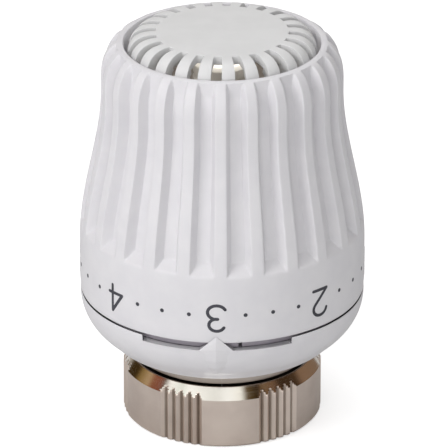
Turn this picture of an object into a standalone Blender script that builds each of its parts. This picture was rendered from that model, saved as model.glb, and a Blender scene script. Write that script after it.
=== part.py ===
"""Thermostatic radiator valve head with an M30 x 1.5 union nut, as separate pieces.

The frame: the origin is the centre of the union nut's lower face, +Z runs up the head's axis to the
vented cap, and the setting pointer looks along -Y. Angles are in degrees about +Z, counted from -Y
towards +X. Lengths are in millimetres and become metres where a mesh is made.
The head stands at setting 3. The handwheel only turns. A two-start thread turns that into the travel
of the adjuster, which carries the liquid sensor and its push rod.
"""

import math

import bmesh
import bpy
from mathutils import Matrix, Vector

MM = 0.001
FIT = 0.3  # clearance between neighbouring pieces
MERGE = 0.00001

# Union nut
NUT_R = 17.5
NUT_TOP = 11.0
NUT_CHAMFER_Z = 9.0
NUT_RIM_R = 16.1
NUT_COLLAR_R = 15.7  # bore that turns on the sleeve
THREAD_MAJOR_R = 15.0
THREAD_MINOR_R = 14.2
THREAD_PITCH = 1.5
THREAD_TOP = 7.0
KNURL_GROUPS = 6
KNURL_GROOVES = 5
KNURL_PITCH = 5.3
KNURL_DEPTH = 0.55
KNURL_PHASE = 37.4  # centre of one group of grooves

# Connector sleeve and the wire ring that keeps the nut on it
SLEEVE_R = 15.4
SLEEVE_BORE = 13.2
SLEEVE_SEAT_R = 13.95  # the seat stays inside the nut's thread
SLEEVE_FOOT = 7.7  # seat on the valve body
SLEEVE_TOP = 15.3
RING_Z = 8.6
RING_R = 15.5
RING_WIRE = 0.45

# Base
BASE_RIM_R = 24.9
BASE_RIM_Z = 23.5
BASE_FOOT = 13.95
BOWL_CENTRE, BOWL_RADII = (13.5, 23.2), (11.4, 9.8)
FLOOR_Z = 16.8
WINDOW_SILL = 22.3
WINDOW_FROM, WINDOW_TO = 2.0, 32.0
POINTER_HALF = 7.0
TOWER_R = 11.6
TOWER_BORE = 10.2
TOWER_TOP = 35.0
GUIDE_WEB = (29.0, 31.0)
BEAD_WALL_R = 18.3
BEAD_R = 18.9

# Handwheel
FLUTES = 24
FLUTE_PHASE = 9.2  # centre of one flute
FLUTE_CREST = 2.3  # half angle of the rib between two flutes
FLUTE_FLOOR = 2.2  # half angle of a flute's floor
FLUTE_DEPTH = 1.9
BAND_R = 25.0
NECK_R = 21.05
WAIST_LOW, WAIST_HIGH = 33.0, 61.0
FLUTE_FOOT, FLUTE_FOOT_FLOOR = 36.1, 38.0
WHEEL_FOOT = 23.8
WHEEL_TOP = 69.7
WHEEL_MOUTH_R = 17.1
SHOULDER_Z = 63.2
SKIRT_R = 20.4
SKIRT_BORE = 19.2
SKIRT_FOOT = 17.9
DRIVE_RIBS = 6
DRIVE_RIB_R = 16.3
DRIVE_RIB_WIDTH = 3.0

# Vented cap
CAP_R = 16.5
CAP_TOP = 72.0
CAP_DISC_R, CAP_DISC_Z = 11.5, 71.67  # the edge of the disc inside the slots
CAP_SPRING_Z = 67.0  # where the dome meets the cap's skirt
CAP_FULLNESS = 0.77  # 1 makes the dome's section an ellipse, and less makes its shoulder fuller
CAP_WALL = 1.4
CAP_BORE = 14.65
CAP_FOOT = 61.3
SLOTS = 24
SLOT_PHASE = -1.2
SLOT_HALF = 3.3
LEDGE = (59.5, 61.0)
LEDGE_R = 15.6

# Adjuster: its thread runs on the base's tower
FEED_LEAD = 6.0
FEED_STARTS = 2
ADJUSTER_NECK = (27.5, 42.5)
ADJUSTER_NECK_R, ADJUSTER_BORE = 14.3, 12.6
CUP_FLOOR, CUP_TOP = 44.0, 55.8
CUP_R, CUP_BORE = 17.0, 14.4
CLIP_GROOVE = (54.0, 55.4)

# Sensor
CAN_R, CAN_WALL = 11.8, 0.5
CAN_FOOT, CAN_TOP = 45.0, 62.0
FLANGE_R, FLANGE_TOP = 13.8, 45.8
BOSS_R, BOSS_TOP = 5.1, 66.6
BELLOWS_R, BELLOWS_ROOT_R = 9.2, 7.2
BELLOWS_FOOT, BELLOWS_TOP = 46.7, 57.4
BELLOWS_FOLDS = 5
PIN_R = 2.5

# Push rod
ROD_R = 2.5
ROD_FOOT, ROD_TOP = 20.5, 41.2
COLLAR_R, COLLAR_FOOT = 6.0, 40.0

# Limit rings
LIMIT_R, LIMIT_BORE, LIMIT_TAB_R = 22.7, 21.1, 20.65
LUG_R, LUG_HALF = 20.8, 3.0


def clear_scene():
    for obj in list(bpy.data.objects):
        bpy.data.objects.remove(obj)


def new_collection(name):
    collection = bpy.data.collections.new(name)
    bpy.context.scene.collection.children.link(collection)
    return collection


def principled(name, colour, roughness, metallic=0.0):
    """A Principled material with this base colour."""
    material = bpy.data.materials.new(name)
    material.use_nodes = True
    material.diffuse_color = (*colour, 1.0)
    shader = material.node_tree.nodes["Principled BSDF"]
    shader.inputs["Base Color"].default_value = (*colour, 1.0)
    shader.inputs["Roughness"].default_value = roughness
    shader.inputs["Metallic"].default_value = metallic
    return material


def at(radius, degrees, z):
    """The point at this radius, angle from -Y and height, in metres."""
    angle = math.radians(degrees)
    return Vector((radius * math.sin(angle), -radius * math.cos(angle), z)) * MM


def angle_of(point):
    """The angle of a point from -Y towards +X, in degrees."""
    return math.degrees(math.atan2(point.x, -point.y))


def link(name, mesh, collection, material=None, parent=None):
    obj = bpy.data.objects.new(name, mesh)
    collection.objects.link(obj)
    obj.parent = parent
    if material:
        mesh.materials.append(material)
    if collection is CUTTERS:
        obj.hide_render = True
        obj.display_type = "WIRE"
    return obj


def body(name):
    """An empty on the head's axis that carries the pieces that move together."""
    empty = bpy.data.objects.new(name, None)
    empty.empty_display_size = 5 * MM
    HEAD.objects.link(empty)
    return empty


def turned(name, profile, collection, material=None, parent=None, steps=36):
    """A turned piece from (radius, z) points. A profile that starts and ends at radius 0 is
    closed on the axis, and any other is a closed ring."""
    area = sum(r0 * z1 - r1 * z0 for (r0, z0), (r1, z1) in zip(profile, profile[1:] + profile[:1]))
    points = profile if area < 0 else profile[::-1]
    solid = points[0][0] == 0 and points[-1][0] == 0
    count = len(points)
    edges = [(i, i + 1) for i in range(count - 1)]
    if not solid:
        edges.append((count - 1, 0))
    mesh = bpy.data.meshes.new(name)
    mesh.from_pydata([(r * MM, 0, z * MM) for r, z in points], edges, [])
    obj = link(name, mesh, collection, material, parent)
    screw = obj.modifiers.new("Turn", "SCREW")
    screw.steps = steps
    screw.render_steps = steps
    screw.use_merge_vertices = True
    screw.merge_threshold = MERGE
    return obj


def mesh_of(obj):
    """A new closed mesh of the object as its modifiers leave it, its faces pointing out."""
    bpy.context.view_layer.update()
    graph = bpy.context.evaluated_depsgraph_get()
    mesh = bpy.data.meshes.new_from_object(obj.evaluated_get(graph))
    work = bmesh.new()
    work.from_mesh(mesh)
    bmesh.ops.remove_doubles(work, verts=work.verts, dist=MERGE)
    bmesh.ops.recalc_face_normals(work, faces=work.faces)
    work.to_mesh(mesh)
    work.free()
    return mesh


def baked(obj):
    """Makes the object's modifiers part of its mesh."""
    mesh = mesh_of(obj)
    obj.modifiers.clear()
    obj.data = mesh
    return obj


def swept(work, section, degrees, steps, lift=0.0):
    """Sweeps a closed section of (radius, z) points about the axis, rising by lift in all."""
    start = work.faces.new([work.verts.new(at(r, 0, z)) for r, z in section])
    bmesh.ops.spin(
        work,
        geom=[start, *start.edges, *start.verts],
        axis=(0, 0, 1),
        cent=(0, 0, 0),
        dvec=(0, 0, lift * MM / steps),
        angle=math.radians(degrees),
        steps=steps,
    )


def sector_mesh(name, blocks, degrees_per_step=6.0):
    """A mesh of curved blocks, each (inner r, outer r, low z, high z, first angle, last angle)."""
    work = bmesh.new()
    for r0, r1, z0, z1, first, last in blocks:
        part = bmesh.new()
        steps = max(1, round((last - first) / degrees_per_step))
        swept(part, [(r0, z0), (r1, z0), (r1, z1), (r0, z1)], last - first, steps)
        bmesh.ops.rotate(part, verts=part.verts, matrix=Matrix.Rotation(math.radians(first), 3, "Z"))
        piece = bpy.data.meshes.new("block")
        part.to_mesh(piece)
        part.free()
        work.from_mesh(piece)
        bpy.data.meshes.remove(piece)
    bmesh.ops.recalc_face_normals(work, faces=work.faces)
    mesh = bpy.data.meshes.new(name)
    work.to_mesh(mesh)
    work.free()
    return mesh


def sectors(name, blocks, degrees_per_step=6.0):
    """A hidden helper of curved blocks, to cut or to join."""
    return link(name, sector_mesh(name, blocks, degrees_per_step), CUTTERS)


def ridge(name, section, first, turns, lead, steps_a_turn=18):
    """A hidden helper: a thread's ridge, its section of (radius, z) points swept up a helix."""
    work = bmesh.new()
    swept(work, section, 360 * turns, round(steps_a_turn * turns), lead * turns)
    bmesh.ops.rotate(work, verts=work.verts, matrix=Matrix.Rotation(math.radians(first), 3, "Z"))
    bmesh.ops.recalc_face_normals(work, faces=work.faces)
    mesh = bpy.data.meshes.new(name)
    work.to_mesh(mesh)
    work.free()
    return link(name, mesh, CUTTERS)


def boolean(obj, tool, operation="DIFFERENCE"):
    modifier = obj.modifiers.new(tool.name, "BOOLEAN")
    modifier.operation = operation
    modifier.object = tool
    return obj


def arc(centre, radii, first, last, count):
    """Points of an elliptical arc in the (radius, z) plane, from one angle to another."""
    points = []
    for i in range(count + 1):
        angle = math.radians(first + (last - first) * i / count)
        points.append((centre[0] + radii[0] * math.cos(angle), centre[1] + radii[1] * math.sin(angle)))
    return points


def eased(low, high, value):
    """0 below low, 1 above high, and a smooth rise between."""
    t = min(1.0, max(0.0, (value - low) / (high - low)))
    return t * t * (3 - 2 * t)


# The outside of the head, connected to the valve


def knurled_outline():
    """The nut's outline, seen from above: smooth panels between groups of V grooves."""
    outline = []
    panel_steps = 4
    half_group = KNURL_GROOVES * KNURL_PITCH / 2
    period = 360 / KNURL_GROUPS
    for group in range(KNURL_GROUPS):
        start = KNURL_PHASE + group * period - half_group
        for groove in range(KNURL_GROOVES):
            crest = start + groove * KNURL_PITCH
            outline.append(at(NUT_R, crest, 0))
            outline.append(at(NUT_R - KNURL_DEPTH, crest + KNURL_PITCH / 2, 0))
        panel = period - 2 * half_group
        for step in range(panel_steps):
            outline.append(at(NUT_R, start + 2 * half_group + panel * step / panel_steps, 0))
    return outline


def make_union_nut(parent):
    """The knurled nut: a grooved outline trimmed by a turned blank, with its thread inside."""
    nut = turned(
        "union_nut",
        [
            (NUT_R + 1, NUT_CHAMFER_Z - (NUT_TOP - NUT_CHAMFER_Z) / (NUT_R - NUT_RIM_R)),
            (NUT_RIM_R, NUT_TOP),
            (NUT_COLLAR_R, NUT_TOP),
            (NUT_COLLAR_R, RING_Z + 0.6),
            (RING_R + 0.8, RING_Z + 0.6),
            (RING_R + 0.8, RING_Z - 0.6),
            (NUT_COLLAR_R, RING_Z - 0.6),
            (NUT_COLLAR_R, THREAD_TOP + 0.4),
            (THREAD_MAJOR_R, THREAD_TOP + 0.2),
            (THREAD_MAJOR_R, 0.8),
            (THREAD_MAJOR_R + 0.6, 0),
            (NUT_R - 0.4, 0),
            (NUT_R + 0.6, 1.0),
            (NUT_R + 1, 1.4),
        ],
        HEAD,
        BRASS_NICKEL,
        parent,
        steps=48,
    )
    curve = bpy.data.curves.new("knurl", "CURVE")
    curve.dimensions = "2D"
    curve.fill_mode = "BOTH"
    curve.extrude = NUT_TOP * MM
    spline = curve.splines.new("POLY")
    outline = knurled_outline()
    spline.points.add(len(outline) - 1)
    for point, place in zip(spline.points, outline):
        point.co = (place.x, place.y, 0, 1)
    spline.use_cyclic_u = True
    flat = bpy.data.objects.new("knurl_curve", curve)
    CUTTERS.objects.link(flat)
    mesh = mesh_of(flat)
    bpy.data.objects.remove(flat)
    boolean(nut, link("knurl", mesh, CUTTERS), "INTERSECT")
    crest, root = 0.2, 0.62
    depth = THREAD_MAJOR_R - THREAD_MINOR_R
    foot = 0.9
    section = [
        (THREAD_MAJOR_R + 0.3, foot - root),
        (THREAD_MAJOR_R + 0.3, foot + root),
        (THREAD_MAJOR_R - depth, foot + crest),
        (THREAD_MAJOR_R - depth, foot - crest),
    ]
    turns = (THREAD_TOP - foot - root) / THREAD_PITCH
    boolean(nut, ridge("nut_thread", section, 0, turns, THREAD_PITCH), "UNION")
    return nut


def make_connector_sleeve(parent):
    """The slotted metal sleeve that the nut turns on. Its foot seats on the valve body."""
    sleeve = turned(
        "connector_sleeve",
        [
            (SLEEVE_R - 0.3, SLEEVE_TOP),
            (SLEEVE_R, SLEEVE_TOP - 0.3),
            (SLEEVE_R, RING_Z + 0.6),
            (RING_R - 0.75, RING_Z + 0.6),
            (RING_R - 0.75, RING_Z - 0.6),
            (SLEEVE_R, RING_Z - 0.6),
            (SLEEVE_R, SLEEVE_FOOT + 0.2),
            (SLEEVE_SEAT_R, SLEEVE_FOOT),
            (SLEEVE_BORE, SLEEVE_FOOT),
            (SLEEVE_BORE, SLEEVE_TOP),
        ],
        HEAD,
        NICKEL,
        parent,
    )
    slits = []
    low, high = SLEEVE_FOOT - 1, SLEEVE_TOP - 1.1
    for quarter in range(4):
        middle = 2.1 + 90 * quarter
        slits.append((SLEEVE_BORE - 1, SLEEVE_R + 1, low, high, middle - 1, middle + 1))
    return boolean(sleeve, sectors("sleeve_slits", slits))


def ring_of_wire(name, radius, wire, z, gap, material, parent):
    """A split ring of round wire."""
    points = 36
    curve = bpy.data.curves.new(name, "CURVE")
    curve.dimensions = "3D"
    curve.bevel_depth = wire * MM
    curve.bevel_resolution = 1
    curve.use_fill_caps = True
    spline = curve.splines.new("POLY")
    spline.points.add(points)
    for i, point in enumerate(spline.points):
        point.co = (*at(radius, 180 + gap / 2 + (360 - gap) * i / points, z), 1)
    return wire_piece(name, curve, material, parent)


def wire_piece(name, curve, material, parent):
    """A piece of round wire: the curve's tube as one closed mesh."""
    path = bpy.data.objects.new(name + "_path", curve)
    CUTTERS.objects.link(path)
    mesh = mesh_of(path)
    bpy.data.objects.remove(path)
    return link(name, mesh, HEAD, material, parent)


def bowl_outline():
    """The base's outer wall, from its rim down to its foot."""
    rim = [(BASE_RIM_R, BASE_RIM_Z)]
    foot = [(19.6, BASE_FOOT + 0.45), (18.7, BASE_FOOT)]
    return rim + arc(BOWL_CENTRE, BOWL_RADII, 0, -50, 8) + foot


def make_base(parent):
    """The fixed moulding: bowl, pointer, windows, and the threaded tower that guides the push rod."""
    base = turned(
        "base",
        bowl_outline()
        + [
            (SLEEVE_R + FIT, BASE_FOOT),
            (SLEEVE_R + FIT, SLEEVE_TOP + FIT),
            (SLEEVE_BORE - FIT, SLEEVE_TOP + FIT),
            (SLEEVE_BORE - FIT, BASE_FOOT),
            (TOWER_BORE, BASE_FOOT),
            (TOWER_BORE, GUIDE_WEB[0]),
            (ROD_R + 0.4, GUIDE_WEB[0]),
            (ROD_R + 0.4, GUIDE_WEB[1]),
            (TOWER_BORE, GUIDE_WEB[1]),
            (TOWER_BORE, TOWER_TOP),
            (TOWER_R, TOWER_TOP),
            (TOWER_R, FLOOR_Z),
            (BEAD_WALL_R - 1.1, FLOOR_Z),
            (BEAD_WALL_R - 1.1, 22.0),
            (BEAD_WALL_R, 22.0),
            (BEAD_R, 20.8),
            (BEAD_R, 19.5),
            (BEAD_WALL_R, 19.5),
            (BEAD_WALL_R, FLOOR_Z),
            (20.9, FLOOR_Z),
            (21.4, 19.9),
            (23.0, 19.9),
            (23.1, BASE_RIM_Z),
        ],
        HEAD,
        WHITE,
        parent,
        steps=48,
    )
    windows = [
        (22.95, 27, WINDOW_SILL, BASE_RIM_Z + 1, WINDOW_FROM, WINDOW_TO),
        (22.95, 27, WINDOW_SILL, BASE_RIM_Z + 1, -WINDOW_TO, -WINDOW_FROM),
    ]
    boolean(base, sectors("windows", windows))
    boolean(base, hull("pointer_root", pointer_root_points()), "UNION")
    boolean(base, hull("pointer_block", pointer_points()), "UNION")
    root, crest = 0.8, 0.4
    section = [
        (TOWER_R - 0.3, 25.5 - root),
        (TOWER_R - 0.3, 25.5 + root),
        (TOWER_R + 0.65, 25.5 + crest),
        (TOWER_R + 0.65, 25.5 - crest),
    ]
    for start in range(FEED_STARTS):
        first = 360 * start / FEED_STARTS
        boolean(base, ridge(f"tower_thread_{start}", section, first, 1.4, FEED_LEAD, 18), "UNION")
    return base


def pointer_points():
    """The raised pointer: a wedge with one ridge, its tip standing over the handwheel's edge."""
    half = {
        2.8: (25.15, 23.55),
        1.6: (25.15, 24.0),
        POINTER_HALF: (24.7, WINDOW_SILL - 0.1),
        5.0: (23.3, 19.5),
    }
    ridge = [(25.15, 25.15), (25.35, 24.2), (25.4, 22.6), (23.2, 17.9)]
    points = [at(r, 0, z) for r, z in ridge]
    for degrees, (r, z) in half.items():
        points += [at(r, degrees, z), at(r, -degrees, z)]
    return points


def pointer_root_points():
    """The sloping piece of wall behind the pointer, between the two windows."""
    foot, top = WINDOW_SILL - 0.1, BASE_RIM_Z - 0.05
    points = []
    for r in (23.15, 24.75):
        points += [at(r, side * POINTER_HALF, foot) for side in (-1, 1)]
        points += [at(r, side * WINDOW_FROM, top) for side in (-1, 1)]
    return points


def hull(name, points):
    """A hidden helper: the convex solid that wraps the points."""
    work = bmesh.new()
    for point in points:
        work.verts.new(point)
    bmesh.ops.convex_hull(work, input=work.verts)
    bmesh.ops.recalc_face_normals(work, faces=work.faces)
    mesh = bpy.data.meshes.new(name)
    work.to_mesh(mesh)
    work.free()
    return link(name, mesh, CUTTERS)


def make_limit_ring(name, low, tab_angle, slit_angle, parent):
    """A ring in the bowl with an inward tab that the handwheel's lug can meet."""
    ring = turned(
        name,
        [
            (LIMIT_R, low + 1.5),
            (LIMIT_R, low),
            (LIMIT_BORE, low),
            (LIMIT_BORE, low + 1.5),
        ],
        HEAD,
        GREY,
        parent,
    )
    tab = (LIMIT_TAB_R, LIMIT_BORE + 0.4, low + 0.1, low + 1.4, tab_angle - LUG_HALF, tab_angle + LUG_HALF)
    boolean(ring, sectors(name + "_tab", [tab]), "UNION")
    slit = (LIMIT_BORE - 0.2, LIMIT_R + 1, low - 1, low + 3, slit_angle - 0.8, slit_angle + 0.8)
    return boolean(ring, sectors(name + "_slit", [slit]))


# The handwheel and its cap


def crest_radius(z):
    """The radius of the ribs' crests at this height, below the shoulder."""
    return BAND_R - (BAND_R - NECK_R) * eased(WAIST_LOW, WAIST_HIGH, z)


def wheel_profile():
    heights = (25.6, FLUTE_FOOT, FLUTE_FOOT_FLOOR, 43.0, 48.0, 54.0)
    outside = [(BAND_R - 0.25, WHEEL_FOOT)] + [(crest_radius(z), z) for z in heights]
    span = NECK_R - WHEEL_MOUTH_R - 0.1
    shoulder = arc((NECK_R - span, SHOULDER_Z), (span, WHEEL_TOP - SHOULDER_Z), 0, 90, 3)
    inside = [
        (WHEEL_MOUTH_R, WHEEL_TOP),
        (WHEEL_MOUTH_R + 0.2, LEDGE[1]),
        (LEDGE_R, LEDGE[1]),
        (LEDGE_R, LEDGE[0]),
        (17.7, LEDGE[0]),
        (19.6, 46.0),
        (22.9, 33.5),
        (23.0, 27.5),
        (SKIRT_BORE, 27.5),
        (SKIRT_BORE, 19.2),
        (SKIRT_BORE - 0.6, 19.2),
        (SKIRT_BORE - 0.3, SKIRT_FOOT),
        (SKIRT_R, SKIRT_FOOT),
        (SKIRT_R, 26.0),
        (23.0, 26.0),
        (23.1, WHEEL_FOOT),
    ]
    return outside + shoulder + inside


def flute(point):
    """Moves one vertex of the turned blank so that four stations a flute make rib, wall and floor."""
    radius = math.hypot(point.x, point.y) / MM
    z = point.z / MM
    on_shoulder = SHOULDER_Z < z < WHEEL_TOP - 0.05
    if not on_shoulder and radius < crest_radius(z) - 0.5:
        return point
    station = round((angle_of(point) - FLUTE_PHASE) * FLUTES * 4 / 360 - 0.5)
    middle = FLUTE_PHASE + (station // 4 + 0.5) * 360 / FLUTES
    pitch = 360 / FLUTES
    offsets = (-pitch / 2 + FLUTE_FLOOR, -FLUTE_CREST, FLUTE_CREST, pitch / 2 - FLUTE_FLOOR)
    angle = middle + offsets[station % 4]
    depth = 0.0
    if station % 4 in (0, 3) and z > FLUTE_FOOT + 0.05:
        depth = FLUTE_DEPTH * (1 - eased(SHOULDER_Z + 0.5, WHEEL_TOP - 0.3, z))
    return at(radius - depth, angle, z)


def make_handwheel(parent):
    """The fluted grip with its inner skirt, snap bead, stop lug and drive ribs."""
    wheel = turned("handwheel", wheel_profile(), HEAD, WHITE, parent, steps=FLUTES * 4)
    baked(wheel)
    turn = Matrix.Rotation(math.radians(FLUTE_PHASE + 180 / FLUTES / 4), 4, "Z")
    wheel.data.transform(turn)
    for vertex in wheel.data.vertices:
        vertex.co = flute(vertex.co)
    lug = [(SKIRT_R - 0.5, LUG_R, 20.2, 23.4, -LUG_HALF, LUG_HALF)]
    boolean(wheel, sectors("stop_lug", lug), "UNION")
    ribs = []
    half = math.degrees(DRIVE_RIB_WIDTH / 2 / DRIVE_RIB_R)
    for rib in range(DRIVE_RIBS):
        middle = 360 * rib / DRIVE_RIBS
        ribs.append((DRIVE_RIB_R, 17.9, 37.8, LEDGE[0] + 0.5, middle - half, middle + half))
        ribs.append((17.0, 20.2, 37.0, 46.5, middle - half * 0.8, middle + half * 0.8))
    return boolean(wheel, sectors("drive_ribs", ribs), "UNION")


def make_end_cap(parent):
    """The domed cap with its ring of air slots, its skirt and four clip legs."""
    dome = []
    for step in range(7):
        turn = math.radians(15 * step)
        r = CAP_DISC_R + (CAP_R - CAP_DISC_R) * math.sin(turn) ** CAP_FULLNESS
        z = CAP_SPRING_Z + (CAP_DISC_Z - CAP_SPRING_Z) * math.cos(turn) ** CAP_FULLNESS
        dome.append((r, z))
    inner_top = CAP_TOP - CAP_WALL
    inner_r = CAP_DISC_R - CAP_WALL
    inner_foot = CAP_SPRING_Z - CAP_WALL
    inner = arc((inner_r, inner_foot), (CAP_BORE - inner_r, inner_top - inner_foot), 0, 90, 4)
    crown = [(0, CAP_TOP), (8.0, CAP_TOP - 0.13)]
    foot = [(CAP_R, CAP_FOOT), (CAP_BORE, CAP_FOOT)]
    cap = turned(
        "end_cap",
        crown + dome + foot + inner + [(0, inner_top)],
        HEAD,
        WHITE,
        parent,
    )
    slots = []
    for slot in range(SLOTS):
        middle = SLOT_PHASE + 360 * slot / SLOTS
        slots.append((CAP_DISC_R, CAP_R + 2, 65.5, CAP_TOP + 2, middle - SLOT_HALF, middle + SLOT_HALF))
    boolean(cap, sectors("air_slots", slots))
    legs = []
    for leg in range(4):
        middle = 45 + 90 * leg
        legs.append((CAP_BORE - 0.2, LEDGE_R - FIT, 58.0, 63.0, middle - 12, middle + 12))
        legs.append((CAP_BORE, LEDGE_R + 0.4, 58.1, LEDGE[0] - FIT, middle - 11, middle + 11))
    return boolean(cap, sectors("clip_legs", legs), "UNION")


# The adjusting mechanism and the sensor


def make_adjuster(parent):
    """The threaded carrier: its neck runs on the tower, and its cup holds the sensor."""
    adjuster = turned(
        "adjuster",
        [
            (CUP_R, CUP_TOP),
            (CUP_R, ADJUSTER_NECK[1]),
            (ADJUSTER_NECK_R, ADJUSTER_NECK[1] - 1),
            (ADJUSTER_NECK_R, ADJUSTER_NECK[0]),
            (ADJUSTER_BORE, ADJUSTER_NECK[0]),
            (ADJUSTER_BORE, ADJUSTER_NECK[1]),
            (9.0, ADJUSTER_NECK[1]),
            (9.0, CUP_FLOOR),
            (CUP_BORE, CUP_FLOOR),
            (CUP_BORE, CLIP_GROOVE[0]),
            (CUP_BORE + 0.9, CLIP_GROOVE[0]),
            (CUP_BORE + 0.9, CLIP_GROOVE[1]),
            (CUP_BORE, CLIP_GROOVE[1]),
            (CUP_BORE, CUP_TOP),
        ],
        HEAD,
        GREY,
        parent,
    )
    grooves = []
    half = math.degrees((DRIVE_RIB_WIDTH / 2 + FIT) / DRIVE_RIB_R)
    for groove in range(DRIVE_RIBS):
        middle = 360 * groove / DRIVE_RIBS
        grooves.append((DRIVE_RIB_R - FIT, CUP_R + 1, 40.0, CUP_TOP + 1, middle - half, middle + half))
    boolean(adjuster, sectors("drive_grooves", grooves))
    root, crest = 0.65, 0.3
    middle_z = 28.7 + FEED_LEAD / FEED_STARTS / 2
    section = [
        (ADJUSTER_BORE + 0.3, middle_z - root),
        (ADJUSTER_BORE + 0.3, middle_z + root),
        (ADJUSTER_BORE - 0.6, middle_z + crest),
        (ADJUSTER_BORE - 0.6, middle_z - crest),
    ]
    # The tower's ridges pass 25.5 at angle 0, and these run midway between them.
    behind = 360 * ((middle_z - 25.5 - FEED_LEAD / FEED_STARTS / 2) / FEED_LEAD)
    for start in range(FEED_STARTS):
        first = behind + 360 * start / FEED_STARTS
        boolean(adjuster, ridge(f"neck_thread_{start}", section, first, 0.75, FEED_LEAD, 18), "UNION")
    return adjuster


def make_retaining_ring(parent):
    """The split ring in the cup's groove that the overtravel spring pushes against."""
    ring = turned(
        "retaining_ring",
        [(15.0, 55.2), (15.0, 54.2), (12.4, 54.2), (12.4, 55.2)],
        HEAD,
        STEEL,
        parent,
    )
    return boolean(ring, sectors("retaining_ring_gap", [(12, 16, 53, 57, 170, 190)]))


def make_spring(name, radius, wire, low, high, turns, parent):
    """A coil of round wire with closed end turns."""
    per_turn = 12
    count = round(turns * per_turn)
    curve = bpy.data.curves.new(name, "CURVE")
    curve.dimensions = "3D"
    curve.bevel_depth = wire * MM
    curve.bevel_resolution = 1
    curve.use_fill_caps = True
    spline = curve.splines.new("POLY")
    spline.points.add(count)
    closed_turn = 0.9
    for i, point in enumerate(spline.points):
        turn = i / per_turn
        rise = min(max(turn - closed_turn, 0), turns - 2 * closed_turn) / (turns - 2 * closed_turn)
        end_turns = min(turn, closed_turn) + max(turn - (turns - closed_turn), 0)
        z = low + wire + end_turns * 2.1 * wire + rise * (high - low - 2 * wire - closed_turn * 4.2 * wire)
        point.co = (*at(radius, 360 * turn, z), 1)
    return wire_piece(name, curve, STEEL, parent)


def make_slip_washer(parent):
    """The washer that lets the adjuster turn under the sensor."""
    return turned(
        "slip_washer",
        [(13.9, 44.75), (13.9, 44.25), (9.6, 44.25), (9.6, 44.75)],
        HEAD,
        BLACK,
        parent,
    )


def make_sensor(parent):
    """The liquid-filled capsule: can, end plate, filler boss, pin bush and bellows."""
    turned(
        "sensor_can",
        [
            (CAN_R - 1.0, CAN_TOP),
            (CAN_R, CAN_TOP - 1.0),
            (CAN_R, FLANGE_TOP),
            (FLANGE_R, FLANGE_TOP),
            (FLANGE_R, CAN_FOOT + 0.05),
            (CAN_R - CAN_WALL, CAN_FOOT + 0.05),
            (CAN_R - CAN_WALL, CAN_TOP - 1.3),
            (CAN_R - CAN_WALL - 0.7, CAN_TOP - CAN_WALL),
            (2.0, CAN_TOP - CAN_WALL),
            (2.0, CAN_TOP),
        ],
        HEAD,
        BRASS_NICKEL,
        parent,
    )
    turned(
        "sensor_end_plate",
        [
            (CAN_R - CAN_WALL - FIT, 46.4),
            (CAN_R - CAN_WALL - FIT, CAN_FOOT + 0.05),
            (4.2, CAN_FOOT + 0.05),
            (4.2, 46.4),
        ],
        HEAD,
        BRASS,
        parent,
    )
    turned(
        "filler_boss",
        [
            (0, BOSS_TOP),
            (BOSS_R - 0.6, BOSS_TOP),
            (BOSS_R, BOSS_TOP - 0.6),
            (BOSS_R, CAN_TOP + FIT),
            (1.7, CAN_TOP + FIT),
            (1.7, CAN_TOP - 1.4),
            (0, CAN_TOP - 1.4),
        ],
        HEAD,
        BRASS,
        parent,
        steps=32,
    )
    turned(
        "pin_bush",
        [(3.9, 47.6), (3.9, 44.9), (PIN_R + FIT, 44.9), (PIN_R + FIT, 47.6)],
        HEAD,
        BLACK,
        parent,
        steps=24,
    )
    make_bellows(parent)


def make_bellows(parent):
    """Thin folded tube with a closed head. Its foot is sealed to the end plate."""
    wall = 0.35
    fold = (BELLOWS_TOP - 1.2 - BELLOWS_FOOT) / BELLOWS_FOLDS
    outside = [(BELLOWS_ROOT_R, BELLOWS_TOP)]
    inside = []
    for i in range(BELLOWS_FOLDS):
        z = BELLOWS_TOP - 1.2 - fold * (i + 0.5)
        outside += [(BELLOWS_R, z + fold * 0.18), (BELLOWS_R, z - fold * 0.18)]
        outside += [(BELLOWS_ROOT_R, z - fold * 0.5)]
        inside += [(BELLOWS_R - 1.7 * wall, z), (BELLOWS_ROOT_R - wall, z - fold * 0.5)]
    outside[-1] = (BELLOWS_ROOT_R, BELLOWS_FOOT)
    inside[-1] = (BELLOWS_ROOT_R - wall, BELLOWS_FOOT)
    profile = [(0, BELLOWS_TOP)] + outside + inside[::-1]
    profile += [(BELLOWS_ROOT_R - wall, BELLOWS_TOP - 0.4), (0, BELLOWS_TOP - 0.4)]
    return turned("bellows", profile, HEAD, BRASS, parent, steps=24)


def make_push_rod(parent):
    """The thrust pin in the bellows and the rod below it that meets the valve's own pin."""
    turned(
        "thrust_pin",
        [
            (0, BELLOWS_TOP - 0.4 - FIT),
            (6.2, BELLOWS_TOP - 0.4 - FIT),
            (6.2, BELLOWS_TOP - 1.7),
            (PIN_R, BELLOWS_TOP - 1.7),
            (PIN_R, ROD_TOP + FIT),
            (0, ROD_TOP + FIT),
        ],
        HEAD,
        STEEL,
        parent,
        steps=24,
    )
    turned(
        "push_rod",
        [
            (0, ROD_TOP),
            (COLLAR_R, ROD_TOP),
            (COLLAR_R, COLLAR_FOOT),
            (ROD_R, COLLAR_FOOT),
            (ROD_R, ROD_FOOT + 1),
            (3.4, ROD_FOOT + 1),
            (3.4, ROD_FOOT),
            (0, ROD_FOOT),
        ],
        HEAD,
        BLACK,
        parent,
        steps=24,
    )


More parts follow.
